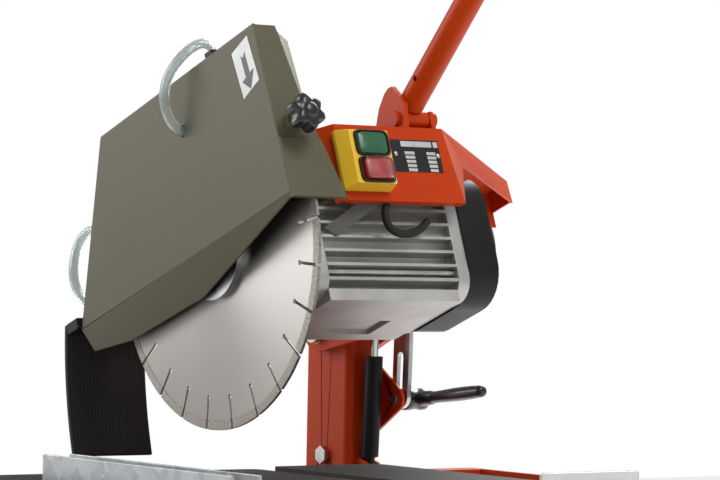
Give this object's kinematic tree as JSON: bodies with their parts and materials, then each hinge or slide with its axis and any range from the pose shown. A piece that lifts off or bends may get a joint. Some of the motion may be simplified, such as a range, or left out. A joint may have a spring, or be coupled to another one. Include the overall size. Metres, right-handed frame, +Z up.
{
  "type": "tile cutter",
  "caption": "Wet tile cutter: a tilting saw head with motor, guard, switch and handle on a column, over a rolling cart with fence, a water tank and a four legged stand.",
  "frame": {"origin": "centre of the part's box in X and Y, on the floor", "axes": "+Z up, +X towards the motor side, -Y towards the operator"},
  "size_m": [0.763, 0.93, 1.4457],
  "materials": {
    "orange_paint": "satin powder coat",
    "olive_paint": "fine textured powder coat",
    "black_steel": "satin black paint",
    "zinc": "zinc plated",
    "galvanised": "galvanised sheet",
    "cast_alloy": "as cast and blasted",
    "blade_steel": "ground",
    "diamond": "sintered",
    "chrome_rod": "polished",
    "bronze": "sintered",
    "black_rubber": "matt",
    "black_plastic": "moulded",
    "yellow_plastic": "moulded",
    "green_plastic": "moulded",
    "red_plastic": "moulded",
    "white_plastic": "polished",
    "clear_pvc": "clear hose",
    "copper": "enamelled wire",
    "label": "printed foil"
  },
  "bodies": {
    "frame": {"base_frame": "orange_paint", "water_tank": "galvanised", "front_legs": "orange_paint", "rear_legs": "orange_paint", "leg_bolts": "zinc", "rubber_feet": "black_rubber", "column": "orange_paint", "column_cap": "black_plastic", "column_plate": "orange_paint", "column_bolts": "zinc", "pivot_axle": "zinc", "lock_bracket": "orange_paint", "lock_bolt": "zinc", "strut_body": "black_steel", "strut_pin": "orange_paint", "water_pump": "black_plastic", "drain_plug": "black_plastic"},
    "cart": {"cart_frame": "orange_paint", "left_deck": "black_rubber", "right_deck": "black_rubber", "cart_stop": "white_plastic", "roller_studs": "zinc"},
    "fence": {"fence": "galvanised"},
    "front_rollers": {"front_rollers": "black_plastic"},
    "rear_rollers": {"rear_rollers": "black_plastic"},
    "head": {"swing_arm": "orange_paint", "pivot_bushes": "bronze", "motor_body": "cast_alloy", "stator": "copper", "drive_end_bracket": "cast_alloy", "rear_bracket": "cast_alloy", "fan_cover": "black_plastic", "bearings": "zinc", "tie_bolts": "zinc", "head_cover": "orange_paint", "cover_brackets": "zinc", "switch_housing": "yellow_plastic", "rating_plate": "label", "switch_cable": "black_rubber", "handle_mount": "orange_paint", "guard_retainer": "zinc"},
    "start_button": {"start_button": "green_plastic"},
    "stop_button": {"stop_button": "red_plastic"},
    "handle": {"handle_tube": "orange_paint", "handle_grip": "black_rubber"},
    "spindle": {"rotor": "zinc", "inner_flange": "zinc", "outer_flange": "zinc", "arbor_nut": "zinc", "blade_core": "blade_steel", "blade_segments": "diamond"},
    "guard": {"guard_shell": "olive_paint", "guard_plate": "olive_paint", "water_hose": "clear_pvc", "hose_fittings": "black_plastic", "splash_flap": "black_rubber"},
    "guard_knob": {"guard_knob": "black_plastic"},
    "strut_rod": {"strut_rod": "chrome_rod"},
    "slotted_bar": {"slotted_bar": "zinc"},
    "lock_lever": {"lock_lever": "black_plastic"}
  },
  "joints": [
    {"name": "head_pivot", "type": "hinge", "parent": "frame", "child": "head", "pos_m": [0.2515, 0.323, 0.89], "axis": [1, 0, 0], "range_deg": [0, 33], "stiffness_Nm_per_rad": 40, "springref_deg": -126.05},
    {"name": "blade_spin", "type": "hinge", "parent": "head", "child": "spindle", "pos_m": [-0.0335, 0.135, 0.97], "axis": [1, 0, 0], "continuous": true},
    {"name": "guard_tilt", "type": "hinge", "parent": "head", "child": "guard", "pos_m": [-0.0335, 0.135, 0.97], "axis": [1, 0, 0], "range_deg": [0, 12]},
    {"name": "guard_knob_turn", "type": "hinge", "parent": "guard", "child": "guard_knob", "pos_m": [-0.0455, -0.01945, 1.09784], "axis": [0, -0.9336, 0.3584], "range_deg": [0, 360]},
    {"name": "handle_fold", "type": "hinge", "parent": "head", "child": "handle", "pos_m": [0.1665, 0.0993, 1.10581], "axis": [1, 0, 0], "range_deg": [-70, 0]},
    {"name": "start_press", "type": "slide", "parent": "head", "child": "start_button", "axis": [0, 0.9336, -0.3584], "range_m": [0, 0.003], "stiffness_N_per_m": 600},
    {"name": "stop_press", "type": "slide", "parent": "head", "child": "stop_button", "axis": [0, 0.9336, -0.3584], "range_m": [0, 0.003], "stiffness_N_per_m": 600},
    {"name": "strut_stroke", "type": "slide", "parent": "frame", "child": "strut_rod", "axis": [0, -0.0433, 0.9991], "range_m": [-0.036, 0]},
    {"name": "bar_swing", "type": "hinge", "parent": "head", "child": "slotted_bar", "pos_m": [0.2795, 0.249, 0.912], "axis": [1, 0, 0], "range_deg": [-32, 0]},
    {"name": "lock_lever_turn", "type": "hinge", "parent": "frame", "child": "lock_lever", "pos_m": [0.2965, 0.252, 0.817], "axis": [1, 0, 0], "range_deg": [-40, 40]},
    {"name": "cart_slide", "type": "slide", "parent": "frame", "child": "cart", "axis": [0, 1, 0], "range_m": [-0.06, 0.2]},
    {"name": "front_roller_spin", "type": "hinge", "parent": "cart", "child": "front_rollers", "pos_m": [-0.0335, -0.335, 0.728], "axis": [1, 0, 0], "range_deg": [-650, 260]},
    {"name": "rear_roller_spin", "type": "hinge", "parent": "cart", "child": "rear_rollers", "pos_m": [-0.0335, 0.01, 0.728], "axis": [1, 0, 0], "range_deg": [-650, 260]},
    {"name": "fence_slide", "type": "slide", "parent": "cart", "child": "fence", "axis": [1, 0, 0], "range_m": [0, 0.16]}
  ],
  "couplings": [
    {"joint": "strut_stroke", "follows": "head_pivot", "m_per_rad": -0.0604},
    {"joint": "bar_swing", "follows": "head_pivot", "ratio": -0.9485},
    {"joint": "front_roller_spin", "follows": "cart_slide", "rad_per_m": -55.556},
    {"joint": "rear_roller_spin", "follows": "cart_slide", "rad_per_m": -55.556}
  ]
}
